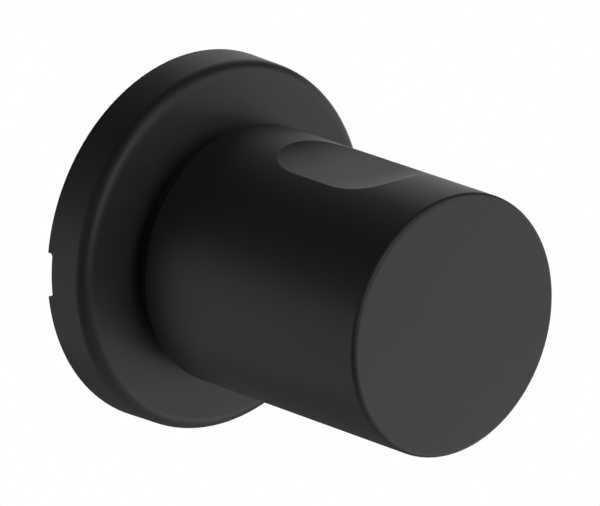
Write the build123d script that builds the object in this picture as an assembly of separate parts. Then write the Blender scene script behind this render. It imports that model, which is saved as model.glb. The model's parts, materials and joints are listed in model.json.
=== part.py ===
from build123d import *
import os
from math import pi, sqrt

# Wall-mounted shut-off valve: a round escutcheon and a cylindrical handle with a finger flat,
# carried by a quarter-turn ceramic-disc headwork that screws into the pipe body in the wall.
#
# Every piece is drawn about its own turning axis. Stations run along that axis: 0 is the wall
# surface, positive is out into the room, negative is into the wall. Radii are measured from it.
# The finished pieces are laid down with the axis along -Y, so that +Z is up.
# All sizes are in millimetres and degrees.

# Escutcheon
ESCUTCHEON_D = 70.0
ESCUTCHEON_DEPTH = 10.0
ESCUTCHEON_WALL = 2.0
ESCUTCHEON_EDGE_R = 2.5
ESCUTCHEON_TAPER = 0.25
ESCUTCHEON_HUB_WALL = 2.0
ESCUTCHEON_HUB_DEPTH = 7.0
ESCUTCHEON_INNER_R = 0.8
PRY_SLOT_W = 8.4
PRY_SLOT_DEPTH = 1.15
PRY_SLOT_CORNER_R = 0.6

# Foam seal behind the escutcheon
SEAL_HUB_GAP = 2.8
SEAL_SIDE_GAP = 0.6
SEAL_SETBACK = 0.2

# Sleeve that carries the escutcheon and guides the handle
SLEEVE_WALL = 3.0
SLEEVE_WEB_T = 3.0
SLEEVE_WALL_GAP = 1.0
SLEEVE_ENTRY = 7.5
SLEEVE_EDGE_R = 0.5
SLEEVE_RING_SECTION = 1.8
SLEEVE_RING_STATION = 6.5

# Handle
HANDLE_D = 49.0
HANDLE_L = 56.4
HANDLE_GAP = 4.75
HANDLE_WALL = 3.0
HANDLE_FRONT_T = 4.0
HANDLE_FRONT_EDGE_R = 0.9
HANDLE_BASE_EDGE_R = 0.4
SKIRT_WALL = 2.5
SKIRT_CLEARANCE = 0.5
SKIRT_END_CLEARANCE = 1.5
HUB_WALL = 3.5
HUB_SETBACK = 4.0
HUB_FLOOR_CLEARANCE = 0.3
HUB_SHOULDER = 1.5

# Finger flat on top of the handle
FLAT_DEPTH = 1.7
FLAT_L = 29.0
FLAT_SETBACK = 13.7
FLAT_SWEEP_L = 11.0
FLAT_SWEEP_H = 2.95

# Plastic glide ring in the handle's skirt
GLIDE_RING_W = 3.0
GLIDE_RING_GROOVE_DEPTH = 0.8
GLIDE_RING_SETBACK = 2.5

# Headwork body
THREAD_D = 20.955
THREAD_L = 8.0
THREAD_CHAMFER = 0.8
THREAD_RELIEF_DEPTH = 1.2
GASKET_T = 1.5
GASKET_RIM = 0.5
COLLAR_D = 27.055
COLLAR_T = 2.5
HEX_AF = 22.0
HEX_H = 8.0
HEX_CHAMFER = 0.8
NECK_D = 16.0
NECK_PROUD = 0.5
CAGE_D = 18.0
CHAMBER_D = 14.8
CHAMBER_ROOF_T = 6.5
WINDOW_H = 4.0
WINDOW_SWEEP = 96.0
WINDOW_GAP = 0.5

# Clamp nut that holds the sleeve on the headwork
NUT_T = 4.0
NUT_AF = 22.0
NUT_CHAMFER = 0.8

# Quarter-turn stop
TURN_ANGLE = 90.0
STOP_LUG_SWEEP = 60.0
STOP_SLACK = 0.5
STOP_POCKET_DEPTH = 3.0
STOP_HUB_D = 11.0
STOP_LUG_D = 13.8
STOP_RING_PROUD = 0.2

# Spindle
SHANK_D = 9.8
FLANGE_T = 2.5
GLIDE_WASHER_T = 0.8
SPLINE_TIP_D = 8.0
SPLINE_ROOT_D = 7.0
SPLINE_TEETH = 20
SPLINE_TOOTH_SHARE = 0.5
SPLINE_GRIP = 12.5
SPINDLE_RING_SECTION = 1.6
SPINDLE_RING_STATIONS = (3.0, 9.0)
CLIP_T = 1.0
CLIP_D = 11.0
CLIP_GROOVE_D = 6.2
CLIP_OPENING = 4.4
FORK_LEG_W = 3.2
FORK_LEG_INNER_R = 3.6

# Ceramic discs and seat ring
ROTATING_DISC_T = 3.3
FIXED_DISC_T = 4.0
DISC_SLOT_DEPTH = 1.6
PORT_INNER_D = 4.4
PORT_OUTER_D = 11.4
PORT_SWEEP = 74.0
PORT_CORNER_R = 0.6
KEY_W = 4.0
CAGE_LIP = 1.5
SEAT_RING_PROUD = 1.5
SEAT_RING_BORE_D = 10.4
SEAT_RING_LIP_D = 16.8

# Spindle extension and its screw
EXTENSION_D = 16.0
EXTENSION_L = 30.0
EXTENSION_FLOOR_T = 8.0
GRUB_GROOVE_W = 5.6
GRUB_GROOVE_DEPTH = 0.9
SCREW_D = 5.0
SCREW_LENGTH = 16.0
SCREW_HEAD_D = 8.5
SCREW_HEAD_H = 5.0
SCREW_KEY_AF = 4.0
SCREW_KEY_DEPTH = 2.5
SCREW_HOLE_DEPTH = 12.0

# Grub screw under the handle
GRUB_D = 5.0
GRUB_L = 8.0
GRUB_KEY_AF = 2.5
GRUB_KEY_DEPTH = 2.5
GRUB_BOSS_WALL = 2.6
GRUB_TIP_CHAMFER = 0.9

# Clearances
FIT = 0.05
DISC_FIT = 0.15
RUNNING_FIT = 0.1
HEAD_FIT = 0.35
AXIAL_GAP = 0.05
CLIP_REST_GAP = 1.0
SPINDLE_END_GAP = 0.5

# How far a groove's cutter runs past the surface that it cuts into
CUT_OVERRUN = 1.0

# Width of a rubber ring's groove, as a share of the ring's section
RING_GROOVE_SHARE = 1.2

# Radii worked out from the sizes above
ESCUTCHEON_R = ESCUTCHEON_D / 2
ESCUTCHEON_INSIDE_R = ESCUTCHEON_R - ESCUTCHEON_WALL
HANDLE_R = HANDLE_D / 2
SKIRT_R = HANDLE_R - SKIRT_WALL
SLEEVE_R = SKIRT_R - SKIRT_CLEARANCE
ESCUTCHEON_BORE_R = SLEEVE_R + RUNNING_FIT
ESCUTCHEON_HUB_R = ESCUTCHEON_BORE_R + ESCUTCHEON_HUB_WALL
THREAD_R = THREAD_D / 2
COLLAR_R = COLLAR_D / 2
GASKET_R = COLLAR_R - GASKET_RIM
BORE_R = SHANK_D / 2 + FIT
CHAMBER_R = CHAMBER_D / 2
DISC_R = CHAMBER_R - DISC_FIT
NECK_R = NECK_D / 2
EXTENSION_R = EXTENSION_D / 2
HUB_BORE_R = EXTENSION_R + FIT
FLAT_FLOOR = HANDLE_R - FLAT_DEPTH

# Stations worked out from the sizes above, from the wall outwards
COLLAR_REAR = GASKET_T
HEX_REAR = COLLAR_REAR + COLLAR_T
HEX_FRONT = HEX_REAR + HEX_H
WEB_FRONT = HEX_FRONT + SLEEVE_WEB_T
NUT_FRONT = WEB_FRONT + NUT_T
NECK_FRONT = NUT_FRONT + NECK_PROUD
POCKET_FLOOR = NECK_FRONT - STOP_POCKET_DEPTH
STOP_RING_REAR = POCKET_FLOOR + AXIAL_GAP
STOP_RING_FRONT = NECK_FRONT + STOP_RING_PROUD
CLIP_REAR = STOP_RING_FRONT + AXIAL_GAP
CLIP_FRONT = CLIP_REAR + CLIP_T
EXTENSION_REAR = CLIP_FRONT + CLIP_REST_GAP
SPINDLE_FRONT = EXTENSION_REAR + SPLINE_GRIP
SOCKET_FLOOR = SPINDLE_FRONT + SPINDLE_END_GAP
HEAD_SEAT = SOCKET_FLOOR + EXTENSION_FLOOR_T
EXTENSION_FRONT = EXTENSION_REAR + EXTENSION_L
HANDLE_BASE = ESCUTCHEON_DEPTH + HANDLE_GAP
HANDLE_FRONT = HANDLE_BASE + HANDLE_L
SLEEVE_FRONT = HANDLE_BASE + SLEEVE_ENTRY
SKIRT_FLOOR = SLEEVE_FRONT + SKIRT_END_CLEARANCE
CAVITY_FRONT = HANDLE_FRONT - HANDLE_FRONT_T
FLAT_FRONT = HANDLE_FRONT - FLAT_SETBACK
FLAT_MIDDLE = FLAT_FRONT - FLAT_L / 2

# Stations worked out from the sizes above, from the wall inwards
THREAD_REAR = -THREAD_L
WINDOW_FRONT = THREAD_REAR - WINDOW_GAP
WINDOW_REAR = WINDOW_FRONT - WINDOW_H
CHAMBER_ROOF = THREAD_REAR + CHAMBER_ROOF_T
FLANGE_FRONT = CHAMBER_ROOF - GLIDE_WASHER_T - AXIAL_GAP
FLANGE_REAR = FLANGE_FRONT - FLANGE_T
ROTATING_DISC_FRONT = WINDOW_REAR
ROTATING_DISC_REAR = ROTATING_DISC_FRONT - ROTATING_DISC_T
FIXED_DISC_FRONT = ROTATING_DISC_REAR - AXIAL_GAP
FIXED_DISC_REAR = FIXED_DISC_FRONT - FIXED_DISC_T
CAGE_REAR = FIXED_DISC_REAR - CAGE_LIP
SEAT_RING_REAR = CAGE_REAR - SEAT_RING_PROUD


def turned(*points, rounds=()):
    """A turned solid: a closed outline of (radius, station) points, swept about the axis.

    rounds holds ((radius, station), size) pairs, the corners to be rounded.
    """
    outline = make_face(Polyline(*points, close=True))
    for corner, size in rounds:
        outline = fillet(outline.vertices().sort_by_distance((*corner, 0))[0], size)
    return revolve(Plane.XZ * outline, Axis.Z)


def ring(inner_r, outer_r, rear, front, rounds=()):
    """A plain turned ring between two stations."""
    return turned((inner_r, rear), (outer_r, rear), (outer_r, front), (inner_r, front), rounds=rounds)


def rod(radius, rear, front):
    """A plain cylinder on the axis between two stations."""
    return Pos(0, 0, rear) * Cylinder(radius, front - rear, align=(Align.CENTER, Align.CENTER, Align.MIN))


def o_ring(middle_r, section, station):
    """A rubber ring of round section."""
    return Pos(0, 0, station) * Torus(middle_r, section / 2)


def prism(outline, rear, front):
    """A flat outline raised along the axis from one station to another."""
    return extrude(Pos(0, 0, rear) * outline, front - rear)


def sector(inner_r, outer_r, middle_angle, sweep):
    """A flat piece of a ring, centred on an angle measured from +X."""
    start = middle_angle - sweep / 2
    outer = CenterArc((0, 0), outer_r, start, sweep)
    inner = CenterArc((0, 0), inner_r, start, sweep)
    sides = [Line(outer @ 0, inner @ 0), Line(outer @ 1, inner @ 1)]
    return make_face([outer, inner, *sides])


def pair(outline):
    """An outline and its copy on the opposite side of the axis."""
    return [outline, Rot(0, 0, 180) * outline]


def hexagon(across_flats, rear, front, chamfer):
    """A hexagon with its corners turned off at the front."""
    corner_r = across_flats / sqrt(3)
    blank = prism(RegularPolygon(across_flats / 2, 6, major_radius=False), rear, front)
    envelope = turned(
        (0, rear),
        (corner_r, rear),
        (corner_r, front - chamfer),
        (corner_r - chamfer * sqrt(3), front),
        (0, front),
    )
    return blank & envelope


def hex_socket(across_flats, floor, mouth):
    """The room that a hexagon key takes, between two stations."""
    return prism(RegularPolygon(across_flats / 2, 6, major_radius=False), floor, mouth)


def spline(clearance, rear, front):
    """Straight-toothed spline bar. The same bar, made larger by a clearance, cuts its socket."""
    root_r = SPLINE_ROOT_D / 2 + clearance
    tip_r = SPLINE_TIP_D / 2 + clearance
    pitch = 360 / SPLINE_TEETH
    tooth_w = SPLINE_TOOTH_SHARE * 2 * pi * root_r / SPLINE_TEETH + clearance
    tooth = Pos(tip_r / 2, 0) * Rectangle(tip_r, tooth_w)
    outline = Circle(root_r)
    for n in range(SPLINE_TEETH):
        outline += Rot(0, 0, n * pitch) * tooth
    return prism(outline & Circle(tip_r), rear, front)


def escutcheon():
    """Slightly tapered cap: a rounded rim, a hub that slides on the sleeve, two slots to lever it off."""
    plate_rear = ESCUTCHEON_DEPTH - ESCUTCHEON_WALL
    hub_rear = ESCUTCHEON_DEPTH - ESCUTCHEON_HUB_DEPTH
    rim_r = ESCUTCHEON_R - ESCUTCHEON_TAPER
    cap = turned(
        (ESCUTCHEON_INSIDE_R, 0),
        (ESCUTCHEON_R, 0),
        (rim_r, ESCUTCHEON_DEPTH),
        (ESCUTCHEON_BORE_R, ESCUTCHEON_DEPTH),
        (ESCUTCHEON_BORE_R, hub_rear),
        (ESCUTCHEON_HUB_R, hub_rear),
        (ESCUTCHEON_HUB_R, plate_rear),
        (ESCUTCHEON_INSIDE_R, plate_rear),
        rounds=[
            ((rim_r, ESCUTCHEON_DEPTH), ESCUTCHEON_EDGE_R),
            ((ESCUTCHEON_INSIDE_R, plate_rear), ESCUTCHEON_INNER_R),
            ((ESCUTCHEON_HUB_R, plate_rear), ESCUTCHEON_INNER_R),
        ],
    )
    slot = Box(2 * ESCUTCHEON_D, PRY_SLOT_W, 2 * PRY_SLOT_DEPTH)
    slot = fillet(slot.edges().filter_by(Axis.X), PRY_SLOT_CORNER_R)
    return cap - slot


def wall_seal():
    """Foam ring inside the escutcheon that keeps spray out of the wall."""
    outer_r = ESCUTCHEON_INSIDE_R - SEAL_SIDE_GAP
    front = ESCUTCHEON_DEPTH - ESCUTCHEON_WALL
    return ring(
        ESCUTCHEON_HUB_R + SEAL_HUB_GAP, outer_r, SEAL_SETBACK, front,
        rounds=[((outer_r, front), ESCUTCHEON_INNER_R)],
    )


def guide_sleeve():
    """Tube with a web across it. The web is clamped on the headwork's hexagon."""
    bore_r = SLEEVE_R - SLEEVE_WALL
    groove_r = SLEEVE_R + RUNNING_FIT - SLEEVE_RING_SECTION - 2 * FIT
    groove_w = SLEEVE_RING_SECTION * RING_GROOVE_SHARE
    tube = ring(
        bore_r, SLEEVE_R, SLEEVE_WALL_GAP, SLEEVE_FRONT,
        rounds=[((SLEEVE_R, SLEEVE_FRONT), SLEEVE_EDGE_R), ((SLEEVE_R, SLEEVE_WALL_GAP), SLEEVE_EDGE_R)],
    )
    web = ring(NECK_R + RUNNING_FIT, bore_r, HEX_FRONT, WEB_FRONT)
    groove = ring(
        groove_r, SLEEVE_R + CUT_OVERRUN,
        SLEEVE_RING_STATION - groove_w / 2, SLEEVE_RING_STATION + groove_w / 2,
    )
    return tube + web - groove


def sleeve_o_ring():
    """Rubber ring in the sleeve's groove. It grips the escutcheon's hub."""
    middle_r = SLEEVE_R + RUNNING_FIT - FIT - SLEEVE_RING_SECTION / 2
    return o_ring(middle_r, SLEEVE_RING_SECTION, SLEEVE_RING_STATION)


def clamp_nut():
    """Flat nut on the headwork's neck."""
    nut = hexagon(NUT_AF, WEB_FRONT, NUT_FRONT, NUT_CHAMFER)
    return nut - rod(NECK_R + FIT, WEB_FRONT, NUT_FRONT)


def headwork_body():
    """Turned brass body: neck, hexagon, collar, pipe thread, and the cage that holds the discs."""
    cage_r = CAGE_D / 2
    body = turned(
        (CHAMBER_R, CAGE_REAR),
        (cage_r, CAGE_REAR),
        (cage_r, THREAD_REAR),
        (THREAD_R - THREAD_CHAMFER, THREAD_REAR),
        (THREAD_R, THREAD_REAR + THREAD_CHAMFER),
        (THREAD_R, 0),
        (THREAD_R - THREAD_RELIEF_DEPTH, 0),
        (THREAD_R - THREAD_RELIEF_DEPTH, COLLAR_REAR),
        (COLLAR_R, COLLAR_REAR),
        (COLLAR_R, HEX_REAR),
        (NECK_R, HEX_REAR),
        (NECK_R, NECK_FRONT),
        (BORE_R, NECK_FRONT),
        (BORE_R, CHAMBER_ROOF),
        (CHAMBER_R, CHAMBER_ROOF),
    )
    flats = hexagon(HEX_AF, HEX_REAR, HEX_FRONT, HEX_CHAMFER) - rod(NECK_R - FIT, HEX_REAR, HEX_FRONT)
    body += flats
    body -= rod(STOP_HUB_D / 2 + RUNNING_FIT, POCKET_FLOOR, NECK_FRONT)
    pocket_sweep = STOP_LUG_SWEEP + TURN_ANGLE + 2 * STOP_SLACK
    body -= prism(sector(BORE_R, STOP_LUG_D / 2 + RUNNING_FIT, 0, pocket_sweep), POCKET_FLOOR, NECK_FRONT)
    for window in pair(sector(CHAMBER_R - CUT_OVERRUN, cage_r + CUT_OVERRUN, 0, WINDOW_SWEEP)):
        body -= prism(window, WINDOW_REAR, WINDOW_FRONT)
    for keyway in pair(Pos(0, cage_r) * Rectangle(KEY_W + 2 * FIT, CAGE_D)):
        body -= prism(keyway - Circle(CHAMBER_R - FIT), CAGE_REAR, FIXED_DISC_FRONT + AXIAL_GAP)
    return body


def headwork_gasket():
    """Fibre washer under the headwork's collar."""
    return ring(THREAD_R + FIT, GASKET_R, 0, COLLAR_REAR)


def glide_washer():
    """Low-friction washer between the spindle's flange and the roof of the chamber."""
    return ring(BORE_R, DISC_R, CHAMBER_ROOF - GLIDE_WASHER_T, CHAMBER_ROOF)


def spindle():
    """Stem with a splined end, two ring grooves, a clip groove, and a fork that turns the upper disc."""
    shank_r = SHANK_D / 2
    groove_w = SPINDLE_RING_SECTION * RING_GROOVE_SHARE
    groove_r = BORE_R - SPINDLE_RING_SECTION - 2 * FIT
    stem = turned(
        (0, FLANGE_REAR), (DISC_R, FLANGE_REAR), (DISC_R, FLANGE_FRONT), (shank_r, FLANGE_FRONT),
        (shank_r, POCKET_FLOOR), (0, POCKET_FLOOR),
    )
    stem += spline(0, POCKET_FLOOR, SPINDLE_FRONT)
    leg = Pos(FORK_LEG_INNER_R + DISC_R / 2, 0) * Rectangle(DISC_R, FORK_LEG_W)
    leg_end = ROTATING_DISC_FRONT - DISC_SLOT_DEPTH + AXIAL_GAP
    for outline in pair(leg & Circle(DISC_R - FIT)):
        stem += prism(outline, leg_end, FLANGE_REAR)
    for station in SPINDLE_RING_STATIONS:
        stem -= ring(groove_r, shank_r + CUT_OVERRUN, station - groove_w / 2, station + groove_w / 2)
    stem -= ring(CLIP_GROOVE_D / 2, SPLINE_TIP_D, CLIP_REAR, CLIP_FRONT)
    return stem - rod(SCREW_D / 2 + FIT, SPINDLE_FRONT - SCREW_HOLE_DEPTH, SPINDLE_FRONT)


def spindle_o_ring(station):
    """Rubber ring that seals the spindle in its bore."""
    middle_r = BORE_R - FIT - SPINDLE_RING_SECTION / 2
    return o_ring(middle_r, SPINDLE_RING_SECTION, station)


def stop_ring():
    """Splined ring whose lug meets the ends of the pocket in the neck, a quarter turn apart."""
    hub = Circle(STOP_HUB_D / 2)
    lug = sector(BORE_R, STOP_LUG_D / 2, -TURN_ANGLE / 2, STOP_LUG_SWEEP)
    blank = prism(hub + lug, STOP_RING_REAR, STOP_RING_FRONT)
    return blank - spline(FIT, STOP_RING_REAR, STOP_RING_FRONT)


def retaining_clip():
    """Open spring clip that keeps the spindle from sliding into the wall."""
    outline = Circle(CLIP_D / 2) - Circle(CLIP_GROOVE_D / 2 + FIT)
    opening = Pos(0, -CLIP_D / 2) * Rectangle(CLIP_OPENING, CLIP_D)
    return prism(outline - opening, CLIP_REAR + AXIAL_GAP / 2, CLIP_FRONT - AXIAL_GAP / 2)


def ports(middle_angle):
    """The two openings through a ceramic disc."""
    opening = sector(PORT_INNER_D / 2, PORT_OUTER_D / 2, middle_angle, PORT_SWEEP)
    return pair(fillet(opening.vertices(), PORT_CORNER_R))


def rotating_disc():
    """Ceramic disc that the fork turns. Shut, its ports lie across those of the fixed disc."""
    disc = rod(DISC_R, ROTATING_DISC_REAR, ROTATING_DISC_FRONT)
    for port in ports(TURN_ANGLE):
        disc -= prism(port, ROTATING_DISC_REAR, ROTATING_DISC_FRONT)
    slot_inner_r = FORK_LEG_INNER_R - FIT
    slot = Pos(DISC_R + slot_inner_r, 0) * Rectangle(2 * DISC_R, FORK_LEG_W + 2 * FIT)
    for outline in pair(slot):
        disc -= prism(outline, ROTATING_DISC_FRONT - DISC_SLOT_DEPTH, ROTATING_DISC_FRONT)
    return disc


def fixed_disc():
    """Ceramic disc held still by two keys in the cage."""
    outline = Circle(DISC_R)
    for key in pair(Pos(0, CAGE_D / 4) * Rectangle(KEY_W, CAGE_D / 2)):
        outline += key & Circle(CAGE_D / 2)
    for port in ports(0):
        outline -= port
    return prism(outline, FIXED_DISC_REAR, FIXED_DISC_FRONT)


def seat_ring():
    """Rubber ring that presses the fixed disc up and seals on the seat in the wall."""
    plug_r = CHAMBER_R - DISC_FIT
    lip_r = SEAT_RING_LIP_D / 2
    bore_r = SEAT_RING_BORE_D / 2
    return turned(
        (bore_r, SEAT_RING_REAR), (lip_r, SEAT_RING_REAR), (lip_r, CAGE_REAR), (plug_r, CAGE_REAR),
        (plug_r, FIXED_DISC_REAR), (bore_r, FIXED_DISC_REAR),
        rounds=[((lip_r, SEAT_RING_REAR), SEAT_RING_PROUD / 2)],
    )


def spindle_extension():
    """Brass bush from the splined spindle to the handle's hub."""
    bush = rod(EXTENSION_R, EXTENSION_REAR, EXTENSION_FRONT)
    bush -= spline(FIT, EXTENSION_REAR, SOCKET_FLOOR)
    bush -= rod(SCREW_D / 2 + HEAD_FIT, SOCKET_FLOOR, HEAD_SEAT)
    bush -= rod(SCREW_HEAD_D / 2 + HEAD_FIT, HEAD_SEAT, EXTENSION_FRONT)
    return bush - ring(
        EXTENSION_R - GRUB_GROOVE_DEPTH, EXTENSION_R + CUT_OVERRUN,
        FLAT_MIDDLE - GRUB_GROOVE_W / 2, FLAT_MIDDLE + GRUB_GROOVE_W / 2,
    )


def extension_screw():
    """Socket-head screw that holds the extension on the spindle."""
    head_front = HEAD_SEAT + SCREW_HEAD_H
    screw = rod(SCREW_HEAD_D / 2, HEAD_SEAT, head_front)
    screw += rod(SCREW_D / 2, HEAD_SEAT - SCREW_LENGTH, HEAD_SEAT)
    return screw - hex_socket(SCREW_KEY_AF, head_front - SCREW_KEY_DEPTH, head_front)


def finger_flat():
    """Cut straight across the handle: level in the middle, swept up in a quarter ellipse at both ends."""
    sweep_run = FLAT_SWEEP_L * sqrt(1 - (1 - FLAT_DEPTH / FLAT_SWEEP_H) ** 2)
    level_l = FLAT_L - 2 * sweep_run
    sweep = Ellipse(FLAT_SWEEP_L, FLAT_SWEEP_H)
    profile = Rectangle(level_l, 2 * FLAT_SWEEP_H) + Pos(-level_l / 2) * sweep + Pos(level_l / 2) * sweep
    cutter = extrude(profile, HANDLE_R, both=True)
    return Pos(0, FLAT_FLOOR + FLAT_SWEEP_H, FLAT_MIDDLE) * Rot(0, 90, 0) * cutter


def handle():
    """Cast handle: an even wall with a flat set into its top, a hub, and a boss for the grub screw."""
    cavity_r = HANDLE_R - HANDLE_WALL
    hub_r = HUB_BORE_R + HUB_WALL
    hub_rear = SKIRT_FLOOR + HUB_SETBACK
    hub_floor = EXTENSION_FRONT + HUB_FLOOR_CLEARANCE
    groove_rear = HANDLE_BASE + GLIDE_RING_SETBACK
    shell = turned(
        (SKIRT_R, HANDLE_BASE),
        (HANDLE_R, HANDLE_BASE),
        (HANDLE_R, HANDLE_FRONT),
        (0, HANDLE_FRONT),
        (0, CAVITY_FRONT),
        (cavity_r, CAVITY_FRONT),
        (cavity_r, SKIRT_FLOOR),
        (SKIRT_R, SKIRT_FLOOR),
        rounds=[
            ((HANDLE_R, HANDLE_FRONT), HANDLE_FRONT_EDGE_R),
            ((HANDLE_R, HANDLE_BASE), HANDLE_BASE_EDGE_R),
        ],
    )
    backing_floor = FLAT_FLOOR - HANDLE_WALL
    backing = Pos(0, backing_floor + HANDLE_R / 2) * Rectangle(HANDLE_D, HANDLE_R)
    shell += prism(backing & Circle(cavity_r + FIT), SKIRT_FLOOR, CAVITY_FRONT)
    shell += rod(hub_r, hub_rear, CAVITY_FRONT)
    boss = Pos(0, 0, FLAT_MIDDLE) * Rot(90, 0, 0) * rod(GRUB_D / 2 + GRUB_BOSS_WALL, 0, cavity_r + FIT)
    shell += boss
    shell -= rod(HUB_BORE_R, hub_rear, hub_floor)
    shell -= rod(HUB_BORE_R - HUB_SHOULDER, hub_floor, CAVITY_FRONT)
    shell -= Pos(0, 0, FLAT_MIDDLE) * Rot(90, 0, 0) * rod(GRUB_D / 2 + FIT, 0, HANDLE_D)
    groove_r = SKIRT_R + GLIDE_RING_GROOVE_DEPTH
    shell -= ring(SKIRT_R - CUT_OVERRUN, groove_r, groove_rear, groove_rear + GLIDE_RING_W)
    return shell - finger_flat()


def handle_glide_ring():
    """Plastic ring in the handle's skirt that runs on the sleeve."""
    rear = HANDLE_BASE + GLIDE_RING_SETBACK
    outer_r = SKIRT_R + GLIDE_RING_GROOVE_DEPTH - FIT
    return ring(SLEEVE_R + RUNNING_FIT, outer_r, rear + AXIAL_GAP, rear + GLIDE_RING_W - AXIAL_GAP)


def grub_screw():
    """Headless screw that locks the handle on the extension, reached from below."""
    tip = EXTENSION_R - GRUB_GROOVE_DEPTH + AXIAL_GAP
    outer = tip + GRUB_L
    tip_r = GRUB_D / 2 - GRUB_TIP_CHAMFER
    screw = turned(
        (0, tip), (tip_r, tip), (GRUB_D / 2, tip + GRUB_TIP_CHAMFER), (GRUB_D / 2, outer), (0, outer)
    )
    screw -= hex_socket(GRUB_KEY_AF, outer - GRUB_KEY_DEPTH, outer)
    return Pos(0, 0, FLAT_MIDDLE) * Rot(90, 0, 0) * screw


PIECES = {
    "escutcheon": escutcheon,
    "wall_seal": wall_seal,
    "guide_sleeve": guide_sleeve,
    "sleeve_o_ring": sleeve_o_ring,
    "clamp_nut": clamp_nut,
    "headwork_body": headwork_body,
    "headwork_gasket": headwork_gasket,
    "glide_washer": glide_washer,
    "fixed_disc": fixed_disc,
    "seat_ring": seat_ring,
    "rotating_disc": rotating_disc,
    "spindle": spindle,
    "spindle_o_ring_rear": lambda: spindle_o_ring(SPINDLE_RING_STATIONS[0]),
    "spindle_o_ring_front": lambda: spindle_o_ring(SPINDLE_RING_STATIONS[1]),
    "stop_ring": stop_ring,
    "retaining_clip": retaining_clip,
    "spindle_extension": spindle_extension,
    "extension_screw": extension_screw,
    "handle": handle,
    "handle_glide_ring": handle_glide_ring,
    "grub_screw": grub_screw,
}

AXIS_TO_FRONT = Rot(90, 0, 0)

os.makedirs("parts", exist_ok=True)
for name, make in PIECES.items():
    export_step(AXIS_TO_FRONT * make(), f"parts/{name}.step")
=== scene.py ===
from contextlib import contextmanager
import json
import math

import bmesh
import bpy
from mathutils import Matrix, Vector, noise


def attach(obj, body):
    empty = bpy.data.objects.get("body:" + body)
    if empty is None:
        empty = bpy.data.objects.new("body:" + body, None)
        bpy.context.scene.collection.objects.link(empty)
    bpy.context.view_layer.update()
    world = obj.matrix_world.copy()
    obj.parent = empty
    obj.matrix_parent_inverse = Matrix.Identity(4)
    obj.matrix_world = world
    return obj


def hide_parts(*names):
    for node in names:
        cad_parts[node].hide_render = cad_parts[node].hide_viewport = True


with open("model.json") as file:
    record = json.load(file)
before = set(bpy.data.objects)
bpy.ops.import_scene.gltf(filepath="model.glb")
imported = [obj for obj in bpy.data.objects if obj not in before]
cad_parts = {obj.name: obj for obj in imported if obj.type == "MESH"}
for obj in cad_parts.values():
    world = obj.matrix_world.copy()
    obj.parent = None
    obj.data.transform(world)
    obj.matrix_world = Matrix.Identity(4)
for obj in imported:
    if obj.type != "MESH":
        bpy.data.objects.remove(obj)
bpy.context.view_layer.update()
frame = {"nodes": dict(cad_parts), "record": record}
nodes = frame["nodes"]

# Camera
PHOTO_W = 600
CAMERA_AZIMUTH = -42.18
CAMERA_ELEVATION = 18.37
CAMERA_TARGET = Vector((0.0, -0.030, 0.0))
CAMERA_DISTANCE = 1.8488
CAMERA_FOCAL_PX = 10155.5
CAMERA_SENSOR_MM = 36.0
CAMERA_CLIP_END = 10.0
TARGET_RIGHT_PX = 0.57
TARGET_DOWN_PX = 19.56

# Softboxes: azimuth from the front towards +X, elevation, distance, width, height, watts
SOFTBOXES = {
    "front": (-4, -6, 0.70, 0.38, 0.38, 0.078),
    "front_left": (-20, 6, 0.70, 0.38, 0.38, 0.540),
    "front_top": (-7, 31, 0.70, 0.38, 0.38, 0.557),
    "front_right": (33, 1, 0.70, 0.38, 0.38, 0.067),
    "front_right_top": (45, 25, 0.70, 0.38, 0.38, 0.509),
    "front_right_under": (40, -40, 0.52, 0.28, 0.28, 0.301),
    "overhead": (0, 60, 0.70, 0.38, 0.38, 0.183),
    "right_front": (60, 2, 0.70, 0.38, 0.38, 0.423),
    "right_low": (55, -22, 0.70, 0.38, 0.38, 0.440),
    "right": (98, -8, 0.70, 0.38, 0.38, 0.350),
    "back_right_top": (130, 29, 0.70, 0.38, 0.38, 0.268),
    "back_top": (160, 30, 0.70, 0.38, 0.38, 0.104),
    "left": (-90, 12, 0.70, 0.38, 0.38, 0.120),
    "back_left": (-137, -6, 0.70, 0.38, 0.38, 0.325),
    "back_left_mid": (-157, 8, 0.70, 0.38, 0.38, 0.089),
    "back_left_low": (-150, -31, 0.65, 0.35, 0.35, 0.210),
    "rear": (180, 0, 0.30, 0.12, 0.12, 0.5),
}
SOFTBOX_AIM = Vector((0.0, -0.035, 0.0))

# Studio around the object
BACKDROP_AZIMUTH = 138
BACKDROP_ELEVATION = -18
BACKDROP_WHITE_WITHIN = 12
BACKDROP_ENDS_AT = 40
FLOOR_Z = -0.45
FLOOR_R = 0.9
FLOOR_SEGMENTS = 128
FLOOR_GLOW = 0.65

# Range in which nearly all of a noise texture lies
NOISE_LOW, NOISE_HIGH = 0.3, 0.7

# Meshes made here: units, the distance in metres within which points are one, the bend in degrees
# up to which an edge looks smooth, and the length of a rounded corner against its rounding
MM_PER_M = 1000
M_PER_MM = 0.001
WELD_DISTANCE = 0.0000005
SMOOTH_BELOW = 35
CORNER_LENGTH = 1.6

# Pipe thread, in millimetres and degrees: radii from the valve's axis, stations from the wall outwards
THREAD_MINOR_R = 9.316
THREAD_CUT_R = 10.75
THREAD_PITCH = 1.814
THREAD_FLANK = 27.5
THREAD_STARTS = -8.9
THREAD_TURNS = 5.3
THREAD_STEPS = 72

# Foam seal, in millimetres
FOAM_INNER_R, FOAM_OUTER_R = 26.4, 32.4
FOAM_REAR, FOAM_FRONT = 0.2, 8.0
FOAM_CORNER_R = 1.0
FOAM_STEP = 0.45
FOAM_SEGMENTS = 420
FOAM_CELL = 0.9
FOAM_PIT = 0.16
FOAM_PIT_REACH = 0.55

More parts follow.
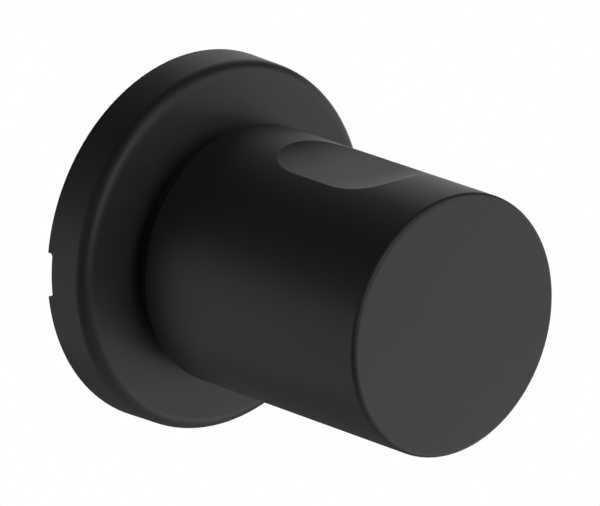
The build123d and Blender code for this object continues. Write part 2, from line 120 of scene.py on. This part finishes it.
# Seat ring, in millimetres
SEAT_BORE_R, SEAT_PLUG_R, SEAT_LIP_R = 5.2, 7.25, 8.4
SEAT_REAR, SEAT_SHOULDER, SEAT_FRONT = -22.85, -21.35, -19.85
SEAT_EDGE_ROUND = 0.2
SEAT_LIP_ROUND = 0.6
SEAT_SHOULDER_ROUND = 0.15
SEAT_INNER_ROUND = 0.1
SEAT_GROOVES = (6.05, 7.25)
SEAT_GROOVE_W, SEAT_GROOVE_DEPTH = 0.7, 0.3
SEAT_GROOVE_EDGE_ROUND = 0.12
SEAT_GROOVE_FLOOR_ROUND = 0.15
SEAT_STEP = 0.2
SEAT_SEGMENTS = 120


def direction(azimuth, elevation):
    """Unit vector towards an azimuth, counted from the front to +X, and an elevation, in degrees."""
    azimuth = math.radians(azimuth)
    elevation = math.radians(elevation)
    return Vector((
        math.sin(azimuth) * math.cos(elevation),
        -math.cos(azimuth) * math.cos(elevation),
        math.sin(elevation),
    ))


def place(name, data, location, facing):
    """Links a new object that looks along a direction."""
    thing = bpy.data.objects.new(name, data)
    thing.location = location
    thing.rotation_mode = "QUATERNION"
    thing.rotation_quaternion = facing.to_track_quat("-Z", "Y")
    bpy.context.scene.collection.objects.link(thing)
    return thing


def make_camera():
    """Long lens, at the photograph's angle, with the framing set by the shift."""
    back = direction(CAMERA_AZIMUTH, CAMERA_ELEVATION)
    data = bpy.data.cameras.new("camera")
    data.sensor_width = CAMERA_SENSOR_MM
    data.lens = CAMERA_FOCAL_PX / PHOTO_W * CAMERA_SENSOR_MM
    data.shift_x = -TARGET_RIGHT_PX / PHOTO_W
    data.shift_y = TARGET_DOWN_PX / PHOTO_W
    data.clip_end = CAMERA_CLIP_END
    camera = place("camera", data, CAMERA_TARGET + back * CAMERA_DISTANCE, -back)
    bpy.context.scene.camera = camera


def make_softboxes():
    """Soft rectangular lamps around the object, turned towards it."""
    for name, (azimuth, elevation, distance, width, height, watts) in SOFTBOXES.items():
        data = bpy.data.lights.new(name, "AREA")
        data.shape = "RECTANGLE"
        data.size = width
        data.size_y = height
        data.energy = watts
        away = direction(azimuth, elevation)
        lamp = place(name, data, SOFTBOX_AIM + away * distance, -away)
        lamp.visible_camera = False


class Graph:
    """Short calls for building a node tree."""

    def __init__(self, tree):
        self.tree = tree

    def node(self, kind, inputs=(), **settings):
        made = self.tree.nodes.new(kind)
        for key, value in settings.items():
            setattr(made, key, value)
        for key, value in dict(inputs).items():
            if isinstance(value, bpy.types.NodeSocket):
                self.tree.links.new(value, made.inputs[key])
            else:
                made.inputs[key].default_value = value
        return made

    def maths(self, operation, first, second):
        return self.node("ShaderNodeMath", {0: first, 1: second}, operation=operation).outputs[0]

    def vectors(self, operation, *values, output="Value"):
        return self.node("ShaderNodeVectorMath", enumerate(values), operation=operation).outputs[output]

    def mixture(self, first, share, second):
        """A share of the first value and the rest of the second."""
        parts = [self.maths("MULTIPLY", first, share), self.maths("MULTIPLY", second, 1 - share)]
        return self.maths("ADD", *parts)

    def span(self, value, low, high, to_low, to_high):
        settings = {"Value": value, "From Min": low, "From Max": high, "To Min": to_low, "To Max": to_high}
        return self.node("ShaderNodeMapRange", settings).outputs["Result"]

    def noise(self, vector, scale, detail=2.0, roughness=0.5):
        settings = {"Vector": vector, "Scale": scale, "Detail": detail, "Roughness": roughness}
        return self.node("ShaderNodeTexNoise", settings).outputs["Fac"]

    def blend(self, factor, low, high):
        ramp = self.node("ShaderNodeValToRGB", {"Fac": factor})
        ramp.color_ramp.elements[0].color = (*low, 1.0)
        ramp.color_ramp.elements[1].color = (*high, 1.0)
        return ramp.outputs["Color"]

    def vary(self, value, low, high):
        """A number that follows a noise from one end to the other."""
        return self.span(value, NOISE_LOW, NOISE_HIGH, low, high)

    def tint(self, value, low, high):
        """A colour that follows a noise from one end to the other."""
        return self.blend(self.vary(value, 0.0, 1.0), low, high)

    def cells(self, vector, scale):
        return self.node("ShaderNodeTexVoronoi", {"Vector": vector, "Scale": scale}).outputs

    def rings(self, vector, scale):
        """Noise that runs round the valve's axis, as a lathe tool leaves it."""
        parts = self.node("ShaderNodeSeparateXYZ", {0: vector}).outputs
        across = self.node("ShaderNodeCombineXYZ", {"X": parts["X"], "Z": parts["Z"]}).outputs[0]
        radius = self.vectors("LENGTH", across)
        flat = self.node("ShaderNodeCombineXYZ", {"X": radius, "Y": parts["Y"]}).outputs[0]
        return self.noise(flat, scale, 3.0, 0.6)

    def bump(self, height, depth, under=None):
        settings = {"Height": height, "Distance": depth}
        if under is not None:
            settings["Normal"] = under
        return self.node("ShaderNodeBump", settings).outputs["Normal"]


def make_world():
    """White to the camera; to the object a white backdrop behind it, which fades out to the sides."""
    world = bpy.data.worlds.new("world")
    bpy.context.scene.world = world
    world.use_nodes = True
    world.node_tree.nodes.clear()
    graph = Graph(world.node_tree)
    path = graph.node("ShaderNodeLightPath").outputs
    coordinate = graph.node("ShaderNodeTexCoord").outputs["Generated"]
    middle = direction(BACKDROP_AZIMUTH, BACKDROP_ELEVATION)
    nearness = graph.vectors("DOT_PRODUCT", coordinate, middle)
    inner = math.cos(math.radians(BACKDROP_WHITE_WITHIN))
    outer = math.cos(math.radians(BACKDROP_ENDS_AT))
    backdrop = graph.span(nearness, outer, inner, 0.0, 1.0)
    mirrored = graph.maths("MULTIPLY", path["Is Glossy Ray"], backdrop)
    seen = graph.maths("MAXIMUM", path["Is Camera Ray"], path["Is Transmission Ray"])
    strength = graph.maths("MAXIMUM", mirrored, seen)
    background = graph.node("ShaderNodeBackground", {"Color": (1, 1, 1, 1), "Strength": strength})
    output = graph.node("ShaderNodeOutputWorld")
    graph.tree.links.new(background.outputs[0], output.inputs["Surface"])


def start_material(name, metallic=0.0, specular=0.5):
    """New material with its graph, its shader and the object's own coordinates."""
    material = bpy.data.materials.new(name)
    material.use_nodes = True
    graph = Graph(material.node_tree)
    shader = material.node_tree.nodes["Principled BSDF"]
    shader.inputs["Metallic"].default_value = metallic
    shader.inputs["Specular IOR Level"].default_value = specular
    place_on = graph.node("ShaderNodeTexCoord").outputs["Object"]
    return material, graph, shader, place_on


def finish_material(graph, shader, colour, roughness, normal):
    """Leads the three results of a graph into its shader."""
    graph.tree.links.new(colour, shader.inputs["Base Color"])
    graph.tree.links.new(roughness, shader.inputs["Roughness"])
    graph.tree.links.new(normal, shader.inputs["Normal"])


def matt_black_coating():
    """Matt coating: fine grain, a faint waviness and a slight change of gloss."""
    material, graph, shader, at = start_material("matt_black_coating")
    grain = graph.noise(at, 6500.0, 2.0, 0.6)
    cloud = graph.noise(at, 160.0, 3.0, 0.55)
    wave = graph.noise(at, 700.0, 2.0, 0.5)
    tone = graph.mixture(grain, 0.5, cloud)
    colour = graph.tint(tone, (0.0365, 0.0365, 0.0385), (0.0415, 0.0415, 0.0430))
    roughness = graph.vary(tone, 0.43, 0.48)
    waviness = graph.bump(wave, 0.0000025)
    finish_material(graph, shader, colour, roughness, graph.bump(grain, 0.0000016, waviness))
    return material


def foam():
    """Foam rubber: small round cells, with painted shade darkening their hollows, so they look lighter at
    their walls.
    """
    material, graph, shader, at = start_material("foam", specular=0.25)
    from_middle = graph.cells(at, 1500.0)["Distance"]
    cloud = graph.noise(at, 300.0, 3.0)
    # painted shade: the colour darkens towards each cell's middle, where the bump sinks into a hollow
    wall = graph.span(from_middle, 0.15, 0.75, 0.0, 1.0)
    colour = graph.blend(wall, (0.034, 0.034, 0.036), (0.072, 0.072, 0.074))
    roughness = graph.vary(cloud, 0.84, 0.96)
    finish_material(graph, shader, colour, roughness, graph.bump(from_middle, 0.00012))
    return material


def brass():
    """Turned brass: fine rings from the tool and a slight change of tone."""
    material, graph, shader, at = start_material("brass", metallic=1.0)
    mark = graph.rings(at, 5200.0)
    cloud = graph.noise(at, 220.0, 3.0)
    tone = graph.mixture(mark, 0.4, cloud)
    colour = graph.tint(tone, (0.66, 0.50, 0.25), (0.77, 0.61, 0.34))
    roughness = graph.vary(tone, 0.27, 0.40)
    finish_material(graph, shader, colour, roughness, graph.bump(mark, 0.000006))
    return material


def ceramic():
    """Lapped ceramic: nearly white, with a faint speckle."""
    material, graph, shader, at = start_material("ceramic")
    speck = graph.noise(at, 4200.0, 2.0)
    cloud = graph.noise(at, 260.0, 2.0)
    spread = graph.span(speck, 0.35, 0.65, 0.0, 1.0)
    colour = graph.blend(spread, (0.85, 0.84, 0.81), (0.90, 0.89, 0.86))
    roughness = graph.vary(cloud, 0.16, 0.26)
    finish_material(graph, shader, colour, roughness, graph.bump(speck, 0.0000012))
    return material


def black_rubber():
    """Moulded rubber: dull, with a fine skin."""
    material, graph, shader, at = start_material("black_rubber", specular=0.4)
    skin = graph.noise(at, 3800.0, 3.0, 0.6)
    cloud = graph.noise(at, 300.0, 2.0)
    colour = graph.tint(cloud, (0.024, 0.024, 0.024), (0.038, 0.038, 0.037))
    roughness = graph.vary(skin, 0.55, 0.70)
    finish_material(graph, shader, colour, roughness, graph.bump(skin, 0.000006))
    return material


def fibre():
    """Pressed fibre: red-brown, with darker and paler strands."""
    material, graph, shader, at = start_material("fibre", specular=0.3)
    stretched = graph.vectors("MULTIPLY", at, (1.0, 1.0, 0.25), output="Vector")
    strand = graph.noise(stretched, 5200.0, 4.0, 0.65)
    colour = graph.tint(strand, (0.28, 0.078, 0.048), (0.44, 0.145, 0.092))
    roughness = graph.vary(strand, 0.72, 0.90)
    finish_material(graph, shader, colour, roughness, graph.bump(strand, 0.000016))
    return material


def steel():
    """Bright steel with fine turning marks."""
    material, graph, shader, at = start_material("steel", metallic=1.0)
    mark = graph.rings(at, 6800.0)
    cloud = graph.noise(at, 320.0, 3.0)
    tone = graph.mixture(mark, 0.5, cloud)
    colour = graph.tint(tone, (0.51, 0.51, 0.52), (0.61, 0.61, 0.62))
    roughness = graph.vary(tone, 0.22, 0.34)
    finish_material(graph, shader, colour, roughness, graph.bump(mark, 0.000004))
    return material


def white_acetal():
    """Moulded white plastic: satin, with a soft unevenness."""
    material, graph, shader, at = start_material("white_acetal")
    skin = graph.noise(at, 2600.0, 2.0)
    cloud = graph.noise(at, 240.0, 2.0)
    colour = graph.tint(cloud, (0.79, 0.78, 0.75), (0.85, 0.84, 0.81))
    roughness = graph.vary(skin, 0.38, 0.50)
    finish_material(graph, shader, colour, roughness, graph.bump(skin, 0.000003))
    return material


FINISHES = (matt_black_coating, foam, brass, ceramic, black_rubber, fibre, steel, white_acetal)
finish_of = {}


def dress_nodes():
    """Gives every CAD node the finish of its slot."""
    for make in FINISHES:
        finish_of[make.__name__] = make()
    for part in frame["record"]["subparts"]:
        for slot in nodes[part["node"]].material_slots:
            slot.material = finish_of[part["material_slot"]]


def floor_paint():
    """Pale matt paint, raised towards the white of the background where it is looked at."""
    material, graph, shader, at = start_material("floor")
    cloud = graph.noise(at, 40.0, 3.0)
    colour = graph.tint(cloud, (0.79, 0.79, 0.78), (0.82, 0.82, 0.81))
    roughness = graph.vary(cloud, 0.86, 0.94)
    finish_material(graph, shader, colour, roughness, graph.bump(cloud, 0.00002))
    path = graph.node("ShaderNodeLightPath").outputs
    seen = graph.maths("MAXIMUM", path["Is Camera Ray"], path["Is Transmission Ray"])
    shader.inputs["Emission Color"].default_value = (1.0, 1.0, 1.0, 1.0)
    graph.tree.links.new(graph.maths("MULTIPLY", seen, FLOOR_GLOW), shader.inputs["Emission Strength"])
    return material


def make_floor():
    """Plain pale round floor below the object."""
    bpy.ops.mesh.primitive_circle_add(
        vertices=FLOOR_SEGMENTS, radius=FLOOR_R, fill_type="NGON", location=(0, 0, FLOOR_Z)
    )
    floor = bpy.context.object
    floor.name = "floor"
    floor.data.materials.append(floor_paint())


def at_station(radius, angle, station):
    """Point of the model, in metres, from a radius and a station in millimetres."""
    return Vector((radius * math.cos(angle), -station, radius * math.sin(angle))) * M_PER_MM


def add_piece(name, mesh, node, slot):
    """Links a finished mesh that stands for a node of the valve's fixed body."""
    piece = bpy.data.objects.new(name, mesh)
    bpy.context.scene.collection.objects.link(piece)
    mesh.materials.clear()
    mesh.materials.append(finish_of[slot])
    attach(piece, "valve_body")
    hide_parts(node)


def rounded_loop(corners, step):
    """Evenly spaced points round a closed outline of (radius, station, rounding) corners."""
    outline = []
    count = len(corners)
    for i, (r, s, rounding) in enumerate(corners):
        here = Vector((r, s))
        before = Vector(corners[i - 1][:2]) - here
        after = Vector(corners[(i + 1) % count][:2]) - here
        reach = rounding / math.tan(before.angle(after) / 2)
        start = here + before.normalized() * reach
        end = here + after.normalized() * reach
        steps = max(2, math.ceil(rounding * CORNER_LENGTH / step) + 1)
        for k in range(steps + 1):
            t = k / steps
            outline.append(start * (1 - t) ** 2 + here * 2 * t * (1 - t) + end * t**2)
    points = []
    for i, here in enumerate(outline):
        there = outline[(i + 1) % len(outline)]
        pieces = max(1, round((there - here).length / step))
        points += [here.lerp(there, k / pieces) for k in range(pieces)]
    return points


def turned_mesh(name, loop, segments, pit=None):
    """Closed ring swept from a loop of (radius, station) points; pit gives how deep a point lies in it."""
    count = len(loop)
    inward = []
    for i in range(count):
        along = loop[(i + 1) % count] - loop[i - 1]
        inward.append(Vector((-along.y, along.x)).normalized())
    points = []
    for k in range(segments):
        angle = 2 * math.pi * k / segments
        for here, inside in zip(loop, inward):
            depth = pit(at_station(here.x, angle, here.y)) if pit else 0.0
            there = here + inside * depth
            points.append(at_station(there.x, angle, there.y))
    faces = []
    for k in range(segments):
        first, second = k * count, (k + 1) % segments * count
        for i in range(count):
            j = (i + 1) % count
            faces.append((first + i, first + j, second + j, second + i))
    mesh = bpy.data.meshes.new(name)
    mesh.from_pydata(points, [], faces)
    finish_mesh(mesh)
    return mesh


@contextmanager
def editing(mesh):
    """Opens a mesh for changes and writes them back."""
    shape = bmesh.new()
    shape.from_mesh(mesh)
    yield shape
    shape.to_mesh(mesh)
    shape.free()


def finish_mesh(mesh):
    """Outward faces, smooth except at sharp edges."""
    limit = math.radians(SMOOTH_BELOW)
    with editing(mesh) as shape:
        bmesh.ops.recalc_face_normals(shape, faces=shape.faces)
        for face in shape.faces:
            face.smooth = True
        for edge in shape.edges:
            edge.smooth = len(edge.link_faces) == 2 and edge.calc_face_angle() < limit


def foam_pit(point):
    """Depth of the open cells in the foam's skin, in millimetres."""
    near = noise.voronoi(point * MM_PER_M / FOAM_CELL)[0]
    return FOAM_PIT * max(0.0, 1.0 - near[0] / FOAM_PIT_REACH)


def make_foam_ring():
    """Foam seal with an open-celled skin and soft corners."""
    corners = [
        (FOAM_INNER_R, FOAM_REAR, FOAM_CORNER_R),
        (FOAM_OUTER_R, FOAM_REAR, FOAM_CORNER_R),
        (FOAM_OUTER_R, FOAM_FRONT, FOAM_CORNER_R),
        (FOAM_INNER_R, FOAM_FRONT, FOAM_CORNER_R),
    ]
    mesh = turned_mesh("foam_ring", rounded_loop(corners, FOAM_STEP), FOAM_SEGMENTS, foam_pit)
    add_piece("foam_ring", mesh, "wall_seal", "foam")


def make_seat_lip():
    """Rubber seat ring with two grooves between its sealing lips."""
    half = SEAT_GROOVE_W / 2
    face = []
    for middle in SEAT_GROOVES:
        face += [
            (middle - half, SEAT_REAR, SEAT_GROOVE_EDGE_ROUND),
            (middle, SEAT_REAR + SEAT_GROOVE_DEPTH, SEAT_GROOVE_FLOOR_ROUND),
            (middle + half, SEAT_REAR, SEAT_GROOVE_EDGE_ROUND),
        ]
    corners = [
        (SEAT_BORE_R, SEAT_REAR, SEAT_EDGE_ROUND),
        *face,
        (SEAT_LIP_R, SEAT_REAR, SEAT_LIP_ROUND),
        (SEAT_LIP_R, SEAT_SHOULDER, SEAT_SHOULDER_ROUND),
        (SEAT_PLUG_R, SEAT_SHOULDER, SEAT_INNER_ROUND),
        (SEAT_PLUG_R, SEAT_FRONT, SEAT_EDGE_ROUND),
        (SEAT_BORE_R, SEAT_FRONT, SEAT_EDGE_ROUND),
    ]
    mesh = turned_mesh("seat_lip", rounded_loop(corners, SEAT_STEP), SEAT_SEGMENTS)
    add_piece("seat_lip", mesh, "seat_ring", "black_rubber")


def thread_groove():
    """Solid helix with the section of the thread's groove."""
    half = (THREAD_CUT_R - THREAD_MINOR_R) * math.tan(math.radians(THREAD_FLANK))
    section = ((THREAD_MINOR_R, 0.0), (THREAD_CUT_R, half), (THREAD_CUT_R, -half))
    total = round(THREAD_TURNS * THREAD_STEPS)
    points = []
    for k in range(total + 1):
        turn = k / THREAD_STEPS
        middle = THREAD_STARTS + THREAD_PITCH * turn
        points += [at_station(r, 2 * math.pi * turn, middle + s) for r, s in section]
    faces = [(0, 1, 2), tuple(3 * total + i for i in (2, 1, 0))]
    for k in range(total):
        for i in range(3):
            j = (i + 1) % 3
            faces.append((3 * k + i, 3 * k + 3 + i, 3 * k + 3 + j, 3 * k + j))
    mesh = bpy.data.meshes.new("thread_groove")
    mesh.from_pydata(points, [], faces)
    with editing(mesh) as shape:
        bmesh.ops.recalc_face_normals(shape, faces=shape.faces)
    return mesh


def make_threaded_headwork():
    """The headwork with its pipe thread cut as a real helix."""
    blank = nodes["headwork_body"].data.copy()
    with editing(blank) as shape:
        bmesh.ops.remove_doubles(shape, verts=shape.verts, dist=WELD_DISTANCE)
    blank_object = bpy.data.objects.new("blank", blank)
    cutter = bpy.data.objects.new("cutter", thread_groove())
    for thing in (blank_object, cutter):
        bpy.context.scene.collection.objects.link(thing)
    cut = blank_object.modifiers.new("thread", "BOOLEAN")
    cut.operation = "DIFFERENCE"
    cut.solver = "EXACT"
    cut.object = cutter
    depsgraph = bpy.context.evaluated_depsgraph_get()
    mesh = bpy.data.meshes.new_from_object(blank_object.evaluated_get(depsgraph))
    for thing in (blank_object, cutter):
        bpy.data.objects.remove(thing)
    finish_mesh(mesh)
    add_piece("threaded_headwork", mesh, "headwork_body", "brass")


make_camera()
make_world()
make_softboxes()
make_floor()
dress_nodes()
make_threaded_headwork()
make_foam_ring()
make_seat_lip()
bpy.context.scene.view_settings.view_transform = "Standard"
